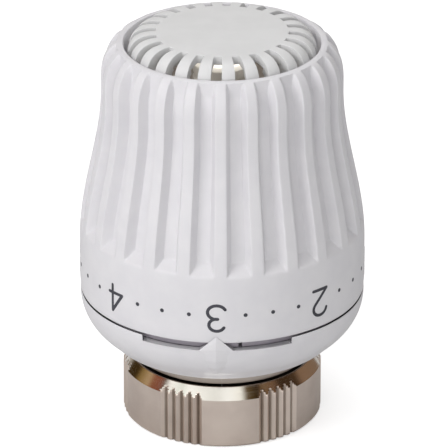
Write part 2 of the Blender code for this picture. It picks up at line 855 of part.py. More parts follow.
def main():
    fixed = body("fixed_body")
    nut = body("nut_body")
    wheel = body("handwheel_body")
    feed = body("feed_body")
    adjuster = body("adjuster_body")
    sensor = body("sensor_body")
    rod = body("rod_body")
    limit_min = body("limit_min_body")
    limit_max = body("limit_max_body")
    for child in (nut, wheel, feed, limit_min, limit_max):
        child.parent = fixed
    adjuster.parent = feed
    sensor.parent = feed
    rod.parent = sensor

    make_union_nut(nut)
    make_connector_sleeve(fixed)
    ring_of_wire("nut_retaining_wire", RING_R, RING_WIRE, RING_Z, 14, STEEL, fixed)
    make_base(fixed)
    make_limit_ring("limit_ring_min", 20.2, -141.5, -150.0, limit_min)
    make_limit_ring("limit_ring_max", 21.95, 96.5, 10.3, limit_max)
    make_handwheel(wheel)
    make_end_cap(wheel)
    make_adjuster(adjuster)
    make_retaining_ring(adjuster)
    make_spring("overtravel_spring", 13.1, 0.55, 46.05, 53.95, 4.0, adjuster)
    make_slip_washer(feed)
    make_sensor(sensor)
    make_push_rod(rod)
    make_spring("return_spring", 4.6, 0.4, GUIDE_WEB[1] + 0.25, COLLAR_FOOT - 0.25, 6.0, fixed)


clear_scene()
HEAD = new_collection("thermostatic_head")
CUTTERS = new_collection("cutters")
WHITE = principled("white_plastic", (0.80, 0.79, 0.80), 0.38)
GREY = principled("grey_plastic", (0.30, 0.29, 0.31), 0.5)
BLACK = principled("black_plastic", (0.05, 0.05, 0.05), 0.5)
BRASS_NICKEL = principled("nickel_plated_brass", (0.62, 0.57, 0.52), 0.3, 1.0)
NICKEL = principled("nickel", (0.45, 0.43, 0.41), 0.35, 1.0)
BRASS = principled("brass", (0.72, 0.60, 0.38), 0.3, 1.0)
STEEL = principled("spring_steel", (0.45, 0.45, 0.46), 0.35, 1.0)
main()
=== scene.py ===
"""The looks of the thermostatic radiator valve head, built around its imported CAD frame.

Each visible piece is a fine mesh that stands for one CAD node and rides on the same body.
Lengths in this script are millimetres and become metres where a mesh is made. Angles are degrees
about +Z, counted from the pointer at -Y towards +X. The head stands at setting 3.
"""

import math

import bpy
import bmesh
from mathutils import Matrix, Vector


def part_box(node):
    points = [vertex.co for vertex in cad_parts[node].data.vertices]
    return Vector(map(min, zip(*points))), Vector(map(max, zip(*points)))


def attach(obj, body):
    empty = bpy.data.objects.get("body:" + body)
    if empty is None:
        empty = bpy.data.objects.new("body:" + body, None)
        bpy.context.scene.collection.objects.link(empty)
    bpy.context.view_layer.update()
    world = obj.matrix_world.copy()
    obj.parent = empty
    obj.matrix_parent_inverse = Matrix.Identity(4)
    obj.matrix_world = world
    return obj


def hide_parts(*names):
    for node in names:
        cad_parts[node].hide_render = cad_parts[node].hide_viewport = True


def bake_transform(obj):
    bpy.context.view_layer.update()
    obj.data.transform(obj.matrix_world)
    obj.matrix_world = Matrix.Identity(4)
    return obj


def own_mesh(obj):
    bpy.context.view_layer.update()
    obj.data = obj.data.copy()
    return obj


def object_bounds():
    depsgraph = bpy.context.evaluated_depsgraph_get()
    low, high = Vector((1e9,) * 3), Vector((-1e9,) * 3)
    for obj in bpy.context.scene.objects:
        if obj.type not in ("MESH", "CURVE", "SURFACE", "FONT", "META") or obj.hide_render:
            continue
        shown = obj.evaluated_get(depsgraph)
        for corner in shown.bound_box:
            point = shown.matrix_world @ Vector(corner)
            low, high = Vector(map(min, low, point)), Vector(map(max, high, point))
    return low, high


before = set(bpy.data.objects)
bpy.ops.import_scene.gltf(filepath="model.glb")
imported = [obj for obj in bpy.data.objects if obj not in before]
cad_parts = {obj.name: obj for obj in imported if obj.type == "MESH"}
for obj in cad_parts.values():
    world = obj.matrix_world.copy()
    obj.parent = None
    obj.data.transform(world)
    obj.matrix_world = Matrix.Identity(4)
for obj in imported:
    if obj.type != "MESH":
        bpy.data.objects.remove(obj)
cad_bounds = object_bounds()

MM = 0.001


def node_box(node):
    """The node's lowest and highest corners, in millimetres."""
    low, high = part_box(node)
    return low / MM, high / MM


WHEEL_LOW, WHEEL_HIGH = node_box("handwheel")
BASE_LOW = node_box("base")[0]
CAP_HIGH = node_box("end_cap")[1]
NUT_HIGH = node_box("union_nut")[1]
SLEEVE_LOW, SLEEVE_HIGH = node_box("connector_sleeve")

# Handwheel
BAND_R = WHEEL_HIGH.x
WHEEL_TOP = WHEEL_HIGH.z
SKIRT_FOOT = WHEEL_LOW.z
WHEEL_FOOT = 23.8
NECK_R = BAND_R - 3.95
WAIST_LOW, WAIST_HIGH = 33.0, 61.0
SHOULDER_Z = 63.2
MOUTH_R = 17.1
FLUTES = 24
FLUTE_PHASE = 1.7  # centre of one rib
RIB_HALF, WALL_END = 2.35, 4.8  # where a flute's wall starts and ends
FLUTE_DEPTH = 1.9
FLUTE_FOOT, FLUTE_FLOOR_FOOT = 36.1, 38.1
FLOOR_TOP_R = 18.25  # the flutes' floor at the mouth

# Dial
MARK_PITCH = 45.0
DIGIT_LOW, DIGIT_HIGH = 26.15, 31.0
DIGIT_WIDTH = 3.4
STROKE = 0.56
DOT_Z, DOT_R = 29.1, 0.36
DOT_PHASE = 0.4
PRINT_DEPTH = 0.03

# Vented cap
CAP_R = CAP_HIGH.x
CAP_TOP = CAP_HIGH.z
DISC_R, DISC_Z = 11.5, 71.67  # the edge of the disc inside the slots
DOME_FOOT = 67.0
DOME_FULLNESS = 0.77  # 1 is an ellipse, and less is squarer
DOME_STEPS = 18
RIB_CROWN = 0.10
RIB_WALL, DISC_WALL = 2.6, 1.6
CAP_FOOT = 61.3
SLOTS = 24
SLOT_PHASE = -1.2
SLOT_HALF = 3.3
SLOT_FOOT = 65.4

# Base
RIM_R, RIM_Z = 24.93, 23.42
BOWL_FOOT = BASE_LOW.z
BOWL_CENTRE, BOWL_DEPTH = (13.5, 23.2), 9.8
WINDOW_Z = 22.3
WINDOW_TO, WINDOW_UNDERCUT = 31.2, 3.2  # degrees to each side of the pointer
FEED_LEAD = 6.0  # the rise of the tower's thread in one turn
POINTER_HALF = 7.0

# Union nut
NUT_R = NUT_HIGH.x
NUT_TOP = NUT_HIGH.z
CHAMFER_Z, NUT_RIM_R = 9.0, 16.1
NUT_COLLAR_R = 15.7
KNURL_GROUPS, KNURL_GROOVES = 6, 5
KNURL_PITCH, KNURL_DEPTH, KNURL_PHASE = 5.3, 0.78, 37.4
THREAD_R, THREAD_DEPTH, THREAD_PITCH, THREAD_TOP = 15.0, 0.8, 1.5, 7.0

# Sleeve, with a groove just above the nut whose faces are painted near black as shade
SLEEVE_R, SLEEVE_BORE = 15.4, 13.2
SEAT_R = 13.95
GROOVE_R, GROOVE_LOW, GROOVE_TOP = 13.6, 10.4, NUT_TOP + 0.3
SLEEVE_SLIT_PHASE, SLEEVE_SLIT_HALF = 2.1, 0.03


# ---------------------------------------------------------------- mesh helpers


def place(radius, degrees, z):
    """The point at this radius, angle and height, in metres."""
    angle = math.radians(degrees)
    return (radius * math.sin(angle) * MM, -radius * math.cos(angle) * MM, z * MM)


def finish_piece(obj, body, nodes, material, sharp=35.0):
    """Gives a piece its material, shading, body and the CAD nodes it stands for.
    A piece that bends between two bodies has no body of its own."""
    obj.data.materials.clear()
    obj.data.materials.append(material)
    obj.data.shade_smooth()
    obj.data.set_sharp_from_angle(angle=math.radians(sharp))
    if body:
        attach(obj, body)
    if nodes:
        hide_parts(*nodes)
    return obj


def second_material(obj, material, chosen):
    """Gives another material to the faces that chosen(radius, height, normal) picks."""
    obj.data.materials.append(material)
    number = len(obj.data.materials) - 1
    for face in obj.data.polygons:
        centre = face.center / MM
        if chosen(math.hypot(centre.x, centre.y), centre.z, face.normal):
            face.material_index = number


def linked(name, data):
    """A new object in the scene, for a mesh, a lamp, a curve or a camera."""
    obj = bpy.data.objects.new(name, data)
    bpy.context.scene.collection.objects.link(obj)
    return obj


def solid(name, work):
    """A new object made from a bmesh, which is freed."""
    mesh = bpy.data.meshes.new(name)
    work.to_mesh(mesh)
    work.free()
    return linked(name, mesh)


def mesh_object(name, vertices, faces):
    """A new object with these points and faces. Doubled points are merged, and faces all turn one way."""
    mesh = bpy.data.meshes.new(name)
    mesh.from_pydata(vertices, [], faces)
    work = bmesh.new()
    work.from_mesh(mesh)
    bmesh.ops.remove_doubles(work, verts=work.verts, dist=0.000002)
    bmesh.ops.dissolve_degenerate(work, edges=work.edges, dist=0.000002)
    bmesh.ops.recalc_face_normals(work, faces=work.faces)
    work.to_mesh(mesh)
    work.free()
    return linked(name, mesh)


def even_angles(count):
    return [360.0 * i / count for i in range(count)]


def revolved(name, profile, angles, shape=None, ring=True):
    """A profile of (radius, z) points carried round the axis. shape(row, r, z, angle) may move
    each point. A ring profile closes on itself, and any other ends on the axis."""
    rows, columns = len(profile), len(angles)
    vertices = []
    for angle in angles:
        for row, (r, z) in enumerate(profile):
            vertices.append(place(*(shape(row, r, z, angle) if shape else (r, angle, z))))
    faces = []
    last = rows if ring else rows - 1
    for i in range(columns):
        j = (i + 1) % columns
        for row in range(last):
            up = (row + 1) % rows
            faces.append((i * rows + row, i * rows + up, j * rows + up, j * rows + row))
    return mesh_object(name, vertices, faces)


def strung(name, rings):
    """A closed solid that runs through rings of points, one after another, with flat ends."""
    rows, steps = len(rings[0]), len(rings) - 1
    vertices = [point for ring in rings for point in ring]
    faces = [tuple(range(rows)), tuple(range(steps * rows, (steps + 1) * rows))]
    for i in range(steps):
        for row in range(rows):
            up = (row + 1) % rows
            faces.append((i * rows + row, i * rows + up, (i + 1) * rows + up, (i + 1) * rows + row))
    return mesh_object(name, vertices, faces)


def sector(name, profile, first, last, steps):
    """A ring profile carried round the axis from one angle to another."""
    rings = []
    for i in range(steps + 1):
        angle = first + (last - first) * i / steps
        rings.append([place(r, angle, z) for r, z in profile])
    return strung(name, rings)


def feed_thread(name, section, low, turns, starts):
    """The ridges of a thread: a section of (radius, height) points carried up a helix from each start."""
    steps = round(turns * 90)
    ridges = []
    for start in starts:
        rings = []
        for i in range(steps + 1):
            turn = turns * i / steps
            z = low + FEED_LEAD * turn
            rings.append([place(r, start + 360 * turn, z + height) for r, height in section])
        ridges.append(strung("ridge", rings))
    return joined(name, ridges)


def joined(name, parts):
    """One object that holds the meshes of all the parts."""
    work = bmesh.new()
    for part in parts:
        work.from_mesh(part.data)
        bpy.data.objects.remove(part)
    return solid(name, work)


def applied(obj):
    """Makes the object's modifiers part of its mesh."""
    bpy.context.view_layer.update()
    graph = bpy.context.evaluated_depsgraph_get()
    mesh = bpy.data.meshes.new_from_object(obj.evaluated_get(graph))
    obj.modifiers.clear()
    obj.data = mesh
    return obj


def bevelled(obj, width, segments, angle):
    """The object with its edges above this angle rounded off."""
    modifier = obj.modifiers.new("Soft edges", "BEVEL")
    modifier.width = width * MM
    modifier.segments = segments
    modifier.limit_method = "ANGLE"
    modifier.angle_limit = math.radians(angle)
    modifier.harden_normals = False
    return applied(obj)


def arc(centre, radii, first, last, count=14):
    """Points of an ellipse's arc. Angles run anticlockwise."""
    points = []
    for i in range(count + 1):
        angle = math.radians(first + (last - first) * i / count)
        points.append((centre[0] + radii[0] * math.cos(angle), centre[1] + radii[1] * math.sin(angle)))
    return points


def rounded(points, radius, steps=3, ring=True):
    """The outline with each corner rounded by up to this radius."""
    count = len(points)
    out = []
    for i, point in enumerate(points):
        if not ring and i in (0, count - 1):
            out.append(point)
            continue
        here = Vector(point)
        before, after = Vector(points[i - 1]), Vector(points[(i + 1) % count])
        back, forth = before - here, after - here
        turn = math.degrees(back.angle(-forth, 0.0))
        if turn < 25:
            out.append(point)
            continue
        reach = min(radius, back.length * 0.45, forth.length * 0.45)
        start, end = here + back.normalized() * reach, here + forth.normalized() * reach
        for step in range(steps + 1):
            t = step / steps
            spot = start * (1 - t) ** 2 + here * 2 * t * (1 - t) + end * t**2
            out.append((spot.x, spot.y))
    return out


def eased(low, high, value):
    """A smooth step from 0 at low to 1 at high."""
    t = min(1.0, max(0.0, (value - low) / (high - low)))
    return t * t * (3 - 2 * t)


def soft_ramp(t, corner=0.22):
    """A straight ramp from 0 to 1 with rounded corners."""
    t = min(1.0, max(0.0, t))
    peak = 1 - corner
    if t < corner:
        return t * t / (2 * corner * peak)
    if t > 1 - corner:
        return 1 - (1 - t) ** 2 / (2 * corner * peak)
    return (t - corner / 2) / peak


def soft_min(a, b, width=0.12):
    """The smaller of two lengths, rounded where they cross."""
    h = max(width - abs(a - b), 0.0) / width
    return min(a, b) - h * h * width / 4


# ---------------------------------------------------------------- materials


def new_material(name):
    """A material with its nodes, its links and its shader."""
    material = bpy.data.materials.new(name)
    material.use_nodes = True
    nodes = material.node_tree.nodes
    return material, nodes, material.node_tree.links, nodes["Principled BSDF"]


def add_noise(nodes, links, scale, detail=3.0, stretch=(1, 1, 1)):
    """Noise in the piece's own metres, optionally stretched along an axis."""
    coordinates = nodes.new("ShaderNodeTexCoord")
    mapping = nodes.new("ShaderNodeMapping")
    mapping.inputs["Scale"].default_value = stretch
    noise = nodes.new("ShaderNodeTexNoise")
    noise.inputs["Scale"].default_value = scale
    noise.inputs["Detail"].default_value = detail
    links.new(coordinates.outputs["Object"], mapping.inputs["Vector"])
    links.new(mapping.outputs["Vector"], noise.inputs["Vector"])
    return noise


def add_ramp(nodes, links, source, low, high):
    """A colour ramp between two colours, driven by a value."""
    ramp = nodes.new("ShaderNodeValToRGB")
    ramp.color_ramp.elements[0].position = 0.35
    ramp.color_ramp.elements[1].position = 0.65
    ramp.color_ramp.elements[0].color = (*low, 1)
    ramp.color_ramp.elements[1].color = (*high, 1)
    links.new(source, ramp.inputs["Fac"])
    return ramp


def add_range(nodes, links, source, low, high):
    """The value, taken from 0..1 to low..high."""
    scaled = nodes.new("ShaderNodeMapRange")
    scaled.inputs["To Min"].default_value = low
    scaled.inputs["To Max"].default_value = high
    links.new(source, scaled.inputs["Value"])
    return scaled.outputs["Result"]


def add_bump(nodes, links, source, shader, strength, distance):
    """Relief driven by a value, at most this many millimetres high."""
    bump = nodes.new("ShaderNodeBump")
    bump.inputs["Strength"].default_value = strength
    bump.inputs["Distance"].default_value = distance * MM
    links.new(source, bump.inputs["Height"])
    links.new(bump.outputs["Normal"], shader.inputs["Normal"])


def plastic(name, dark, light, roughness, grain=0.012):
    """Moulded plastic: faint mottling, a fine spark-eroded grain and slightly uneven gloss."""
    material, nodes, links, shader = new_material(name)
    mottling = add_noise(nodes, links, 260.0)
    ramp = add_ramp(nodes, links, mottling.outputs["Fac"], dark, light)
    links.new(ramp.outputs["Color"], shader.inputs["Base Color"])
    texture = add_noise(nodes, links, 5200.0, 2.0)
    gloss = add_range(nodes, links, mottling.outputs["Fac"], roughness - 0.05, roughness + 0.05)
    links.new(gloss, shader.inputs["Roughness"])
    add_bump(nodes, links, texture.outputs["Fac"], shader, 0.35, grain)
    return material


def turned_metal(name, dark, light, roughness, rings=9000.0, strength=0.25):
    """Turned metal: fine tool rings round the axis, with a soft patchy tone."""
    material, nodes, links, shader = new_material(name)
    patches = add_noise(nodes, links, 180.0)
    ramp = add_ramp(nodes, links, patches.outputs["Fac"], dark, light)
    links.new(ramp.outputs["Color"], shader.inputs["Base Color"])
    shader.inputs["Metallic"].default_value = 1.0
    tool = add_noise(nodes, links, rings, 2.0, (0.02, 0.02, 1.0))
    gloss = add_range(nodes, links, tool.outputs["Fac"], roughness - 0.08, roughness + 0.1)
    links.new(gloss, shader.inputs["Roughness"])
    add_bump(nodes, links, tool.outputs["Fac"], shader, strength, 0.006)
    return material


WHITE = plastic("moulded_white", (0.70, 0.69, 0.715), (0.73, 0.72, 0.74), 0.42)
CAP_WHITE = plastic("moulded_white_cap", (0.69, 0.69, 0.69), (0.72, 0.72, 0.72), 0.46)
LILAC = plastic("moulded_grey", (0.50, 0.46, 0.52), (0.56, 0.52, 0.58), 0.5)
# Black plastic for the small black parts, also used as painted shade in the gaps at the wheel's foot.
BLACK_PLASTIC_AND_PAINTED_SHADE = plastic("moulded_black_and_painted_shade", (0.022, 0.022, 0.024), (0.035, 0.035, 0.037), 0.45)
PRINT = plastic("printed_ink", (0.035, 0.035, 0.045), (0.06, 0.06, 0.075), 0.6, grain=0.004)
NICKEL_SATIN = turned_metal("nickel_satin", (0.64, 0.55, 0.49), (0.71, 0.62, 0.555), 0.42)
NICKEL_BRIGHT = turned_metal("nickel_bright", (0.85, 0.81, 0.76), (0.91, 0.88, 0.83), 0.12, 5000.0, 0.08)
NICKEL_DARK = turned_metal("nickel_dark", (0.48, 0.425, 0.38), (0.54, 0.48, 0.43), 0.4)
# A darker nickel: painted shade deep in the knurl's grooves.
NICKEL_SHADED = turned_metal("nickel_shaded", (0.34, 0.28, 0.24), (0.40, 0.34, 0.29), 0.45)
# Near-black nickel: painted shade for the sleeve's groove above the nut.
NICKEL_PAINTED_SHADE = turned_metal("nickel_painted_shade", (0.06, 0.05, 0.04), (0.09, 0.075, 0.06), 0.5)
NICKEL_MATT = plastic("nickel_matt", (0.88, 0.84, 0.76), (0.94, 0.90, 0.82), 0.3)
BRASS = turned_metal("turned_brass", (0.58, 0.46, 0.27), (0.68, 0.56, 0.35), 0.28)
SPRING = turned_metal("drawn_wire", (0.40, 0.40, 0.41), (0.50, 0.50, 0.51), 0.3, 6000.0, 0.1)


# ---------------------------------------------------------------- handwheel


def crest_radius(z):
    """The ribs' outer radius, below the shoulder."""
    return BAND_R - (BAND_R - NECK_R) * eased(WAIST_LOW, WAIST_HIGH, z)


def floor_depth(r, z):
    """How deep the flutes' floor lies below the ribs at this height."""
    if z < FLUTE_FOOT:
        return 0.0
    ramp = FLUTE_DEPTH * soft_ramp((z - FLUTE_FOOT) / (FLUTE_FLOOR_FOOT - FLUTE_FOOT), 0.12)
    lean = max(0.0, (z - WAIST_HIGH) / (WHEEL_TOP - WAIST_HIGH))
    straight = NECK_R - FLUTE_DEPTH + (FLOOR_TOP_R - NECK_R + FLUTE_DEPTH) * lean
    return max(0.0, min(ramp, r - straight if z > WAIST_HIGH else FLUTE_DEPTH))


def fluted(r, z, angle):
    """A point of the wheel's outside, with the flutes cut in."""
    pitch = 360.0 / FLUTES
    off = abs((angle - FLUTE_PHASE + pitch / 2) % pitch - pitch / 2)
    wall = FLUTE_DEPTH * soft_ramp((off - RIB_HALF) / (WALL_END - RIB_HALF))
    return r - max(0.0, soft_min(wall, floor_depth(r, z)))


def wheel_rows():
    """The wheel's section as (radius, z), outside first, and how many points are outside."""
    foot = [(24.70, WHEEL_FOOT), (24.82, WHEEL_FOOT + 0.04), (24.88, WHEEL_FOOT + 0.16)]
    foot += [(24.92, 24.7), (24.97, 25.3)]
    heights = [25.8, 27.0, 28.5, 30.0, 31.5, 33.0, 34.5, 35.6]
    heights += [FLUTE_FOOT + 0.2 * i for i in range(14)]
    heights += [39.4 + 1.1 * i for i in range(22)]
    body = [(crest_radius(z), z) for z in heights if z < SHOULDER_Z]
    lip = 0.35
    span = NECK_R - MOUTH_R - lip
    shoulder = arc((NECK_R - span, SHOULDER_Z), (span, WHEEL_TOP - SHOULDER_Z), 0, 90, 20)
    outside = foot + body + shoulder
    inside = [
        (MOUTH_R + 0.12, WHEEL_TOP - 0.06),
        (MOUTH_R, WHEEL_TOP - 0.25),
        (MOUTH_R + 0.2, 61.1),
        (MOUTH_R + 0.1, 61.0),
        (15.6, 61.0),
        (15.6, 59.5),
        (17.7, 59.5),
        (18.4, 54.0),
        (19.6, 46.0),
        (22.9, 33.5),
        (23.0, 27.5),
        (19.2, 27.5),
        (19.2, 19.2),
        (18.6, 19.2),
        (18.9, SKIRT_FOOT),
        (20.4, SKIRT_FOOT),
        (20.4, 26.0),
        (23.0, 26.0),
        (23.1, WHEEL_FOOT + 0.1),
        (23.2, WHEEL_FOOT),
    ]
    return outside + inside, len(outside)


def make_handwheel():
    """The fluted grip, the ribs inside it that turn the adjuster, and its stop."""
    rows, outside = wheel_rows()
    pitch = 360.0 / FLUTES
    half = [0.0, 1.7, 2.3, 2.6, 3.0, 3.6, 4.2, 4.6, 4.9, 5.3, 6.3]
    offsets = half + [pitch / 2] + [pitch - x for x in half[:0:-1]]
    angles = [FLUTE_PHASE + pitch * flute + x for flute in range(FLUTES) for x in offsets]

    def shape(row, r, z, angle):
        return (fluted(r, z, angle) if row < outside else r), angle, z

    wheel = revolved("handwheel_grip", rows, angles, shape)
    finish_piece(wheel, "handwheel_body", ["handwheel"], WHITE, 38)
    # Painted shade: the underside of the wheel's foot is black, to darken the joint with the base.
    second_material(wheel, BLACK_PLASTIC_AND_PAINTED_SHADE, lambda r, z, n: r > 23.0 and z < WHEEL_FOOT + 0.01)
    ribs = []
    key = rounded([(16.3, 37.8), (16.3, 59.9), (17.9, 59.9), (17.9, 37.8)], 0.3)
    web = [(17.0, 37.0), (17.0, 46.5), (20.2, 46.5), (20.2, 37.0)]
    for rib in range(6):
        middle = 60.0 * rib
        ribs.append(sector("rib", key, middle - 5.2, middle + 5.2, 6))
        ribs.append(sector("rib", web, middle - 4.2, middle + 4.2, 6))
    drive = joined("handwheel_drive_ribs", ribs)
    finish_piece(drive, "handwheel_body", [], WHITE)
    section = rounded([(19.9, 20.2), (19.9, 23.4), (20.8, 23.4), (20.8, 20.2)], 0.15)
    lug = sector("handwheel_stop_lug", section, -3, 3, 6)
    finish_piece(lug, "handwheel_body", [], WHITE)


# ---------------------------------------------------------------- dial marks


def digit_paths(digit):
    """The centre lines of a digit's strokes, upright, in a box 1 wide and 1 high."""
    if digit == "1":
        return [[(0.22, 0.76), (0.56, 1.0), (0.56, 0.0)]]
    if digit == "2":
        bowl = arc((0.5, 0.73), (0.44, 0.27), 172, -38)
        return [bowl + [(0.06, 0.0), (0.96, 0.0)]]
    if digit == "3":
        upper = arc((0.47, 0.76), (0.40, 0.24), 155, -78)
        lower = arc((0.47, 0.27), (0.47, 0.27), 78, -155)
        return [upper + [(0.42, 0.53)], [(0.42, 0.53)] + lower]
    if digit == "4":
        return [[(0.74, 0.0), (0.74, 1.0), (0.04, 0.30), (0.98, 0.30)]]
    if digit == "5":
        belly = arc((0.45, 0.32), (0.47, 0.32), 118, -158)
        return [[(0.90, 1.0), (0.20, 1.0), (0.12, 0.53)] + belly]
    arms = []
    for arm in range(3):
        angle = math.radians(90 + 60 * arm)
        dx, dz = 0.6 * math.cos(angle), 0.5 * math.sin(angle)
        arms.append([(0.5 - dx, 0.5 - dz), (0.5 + dx, 0.5 + dz)])
    return arms


def mark_sheet(work, outline, middle):
    """A thin solid of print on the band: outline is (distance round the band, z) points."""
    low, high = BAND_R - PRINT_DEPTH, BAND_R + PRINT_DEPTH
    rings = []
    for radius in (low, high):
        points = [place(radius, middle + math.degrees(x / BAND_R), z) for x, z in outline]
        rings.append([work.verts.new(point) for point in points])
    work.faces.new(rings[0][::-1])
    work.faces.new(rings[1])
    for i in range(len(outline)):
        j = (i + 1) % len(outline)
        work.faces.new((rings[0][i], rings[0][j], rings[1][j], rings[1][i]))


def draw_stroke(work, path, middle):
    """A stroke along the path: a strip of short pieces with round joins."""
    half = STROKE / 2
    dense = [path[0]]
    for here, there in zip(path, path[1:]):
        pieces = max(1, math.ceil(math.dist(here, there) / 0.4))
        dense += [
            (here[0] + (there[0] - here[0]) * i / pieces, here[1] + (there[1] - here[1]) * i / pieces)
            for i in range(1, pieces + 1)
        ]
    for (x0, z0), (x1, z1) in zip(dense, dense[1:]):
        along = Vector((x1 - x0, z1 - z0))
        if along.length < 0.001:
            continue
        heading = math.degrees(math.atan2(along.y, along.x))
        outline = arc((x1, z1), (half, half), heading - 90, heading + 90, 6)
        outline += arc((x0, z0), (half, half), heading + 90, heading + 270, 6)
        mark_sheet(work, outline, middle)


def finish_mark(name, work):
    bmesh.ops.recalc_face_normals(work, faces=work.faces)
    finish_piece(solid(name, work), "handwheel_body", [], PRINT)


def make_dial():
    """The digits stand head down, so that they read upright from the valve's side.
    Three dots fill each gap between two marks."""
    marks = {"5": -90, "4": -45, "3": 0, "2": 45, "1": 90, "frost": 135}
    height = DIGIT_HIGH - DIGIT_LOW
    for digit, middle in marks.items():
        work = bmesh.new()
        for path in digit_paths(digit):
            turned = [((0.5 - x) * DIGIT_WIDTH, DIGIT_HIGH - z * height) for x, z in path]
            draw_stroke(work, turned, middle)
        finish_mark("dial_mark_" + digit, work)
    work = bmesh.new()
    for gap in range(5):
        for dot in (1, 2, 3):
            middle = -90 + MARK_PITCH * (gap + dot / 4)
            mark_sheet(work, arc((0, DOT_Z), (DOT_R, DOT_R), 0, 345, 15), middle + DOT_PHASE)
    finish_mark("dial_dots", work)


# ---------------------------------------------------------------- vented cap


def cap_profile():
    """The cap's outside as (radius, z) from its middle out, and the rows where the slots start and end."""
    disc = [(0.0, CAP_TOP), (4.0, CAP_TOP - 0.03), (8.0, CAP_TOP - 0.13), (11.2, DISC_Z + 0.02)]
    dome = []
    for step in range(DOME_STEPS + 1):
        turn = math.radians(90 * step / DOME_STEPS)
        r = DISC_R + (CAP_R - DISC_R) * math.sin(turn) ** DOME_FULLNESS
        z = DOME_FOOT + (DISC_Z - DOME_FOOT) * math.cos(turn) ** DOME_FULLNESS
        dome.append((r, z))
    side = [(CAP_R, 66.2), (CAP_R, SLOT_FOOT), (CAP_R, 63.5), (CAP_R, CAP_FOOT)]
    return disc + dome + side, len(disc), len(disc + dome) + 1


def cap_surface():
    """The cap's outside as an open sheet, with gaps for the slots and slightly rounded ribs between them."""
    pitch = 360.0 / SLOTS
    offsets = [-SLOT_HALF, 0.0, SLOT_HALF, 4.0, 5.6, 7.5, 9.4, 11.0]
    angles = [SLOT_PHASE + pitch * slot + x for slot in range(SLOTS) for x in offsets]
    profile, first_open, last_open = cap_profile()
    rows, columns = len(profile), len(angles)
    vertices = []
    for angle in angles:
        off = abs((angle - SLOT_PHASE + pitch / 2) % pitch - pitch / 2)
        across = (off - pitch / 2) / (pitch / 2 - SLOT_HALF)
        crown = RIB_CROWN * (1 - across**2) if off > SLOT_HALF else 0.0
        for r, z in profile:
            lift = crown * eased(DISC_R, DISC_R + 2.0, r) * eased(SLOT_FOOT, SLOT_FOOT + 1.0, z)
            vertices.append(place(r + (lift - RIB_CROWN if r > DISC_R else 0.0), angle, z))
    faces = []
    for i in range(columns):
        j = (i + 1) % columns
        slot = i % len(offsets) < 2
        for row in range(rows - 1):
            if slot and first_open <= row < last_open:
                continue
            faces.append((i * rows + row, j * rows + row, j * rows + row + 1, i * rows + row + 1))
    return mesh_object("end_cap_grille", vertices, faces)


def make_end_cap():
    """The cap with its slots, and the four clips that hold it in the wheel."""
    cap = cap_surface()
    up = sum(face.normal.z for face in cap.data.polygons if face.center.z > (CAP_TOP - 0.2) * MM)
    if up < 0:
        cap.data.flip_normals()
    ribs = cap.vertex_groups.new(name="ribs")
    ribs.add([v.index for v in cap.data.vertices if v.co.z < (DISC_Z - 0.8) * MM], 1.0, "REPLACE")
    shell = cap.modifiers.new("Wall", "SOLIDIFY")
    shell.thickness = RIB_WALL * MM
    shell.vertex_group = "ribs"
    shell.thickness_vertex_group = DISC_WALL / RIB_WALL
    shell.offset = -1.0
    shell.use_even_offset = False
    applied(cap)
    bevelled(cap, 0.24, 3, 50)
    finish_piece(cap, "handwheel_body", ["end_cap"], CAP_WHITE, 45)
    section = [(14.45, 58.0), (14.45, 63.0), (15.3, 63.0), (15.3, 59.2), (16.0, 59.2), (15.3, 58.1)]
    legs = []
    for leg in range(4):
        middle = 45 + 90 * leg
        legs.append(sector("leg", rounded(section, 0.12), middle - 12, middle + 12, 12))
    finish_piece(joined("end_cap_clip_legs", legs), "handwheel_body", [], CAP_WHITE)


# ---------------------------------------------------------------- base


def window_angles():
    """Columns round the base, with close pairs where the windows end, outside and inside."""
    ends = []
    for end in (WINDOW_TO, WINDOW_TO + WINDOW_UNDERCUT):
        ends += [end, 360 - end]
    angles = [a for a in even_angles(240) if all(abs(a - end) > 0.4 for end in ends)]
    for end in ends:
        angles += [end - 0.12, end, end + 0.12]
    return sorted(angles)


def in_window(angle, r):
    """The windows reach further round inside the wall, so that their ends run off at a slant."""
    reach = WINDOW_TO if r > 24.0 else WINDOW_TO + WINDOW_UNDERCUT
    return abs((angle + 180) % 360 - 180) < reach


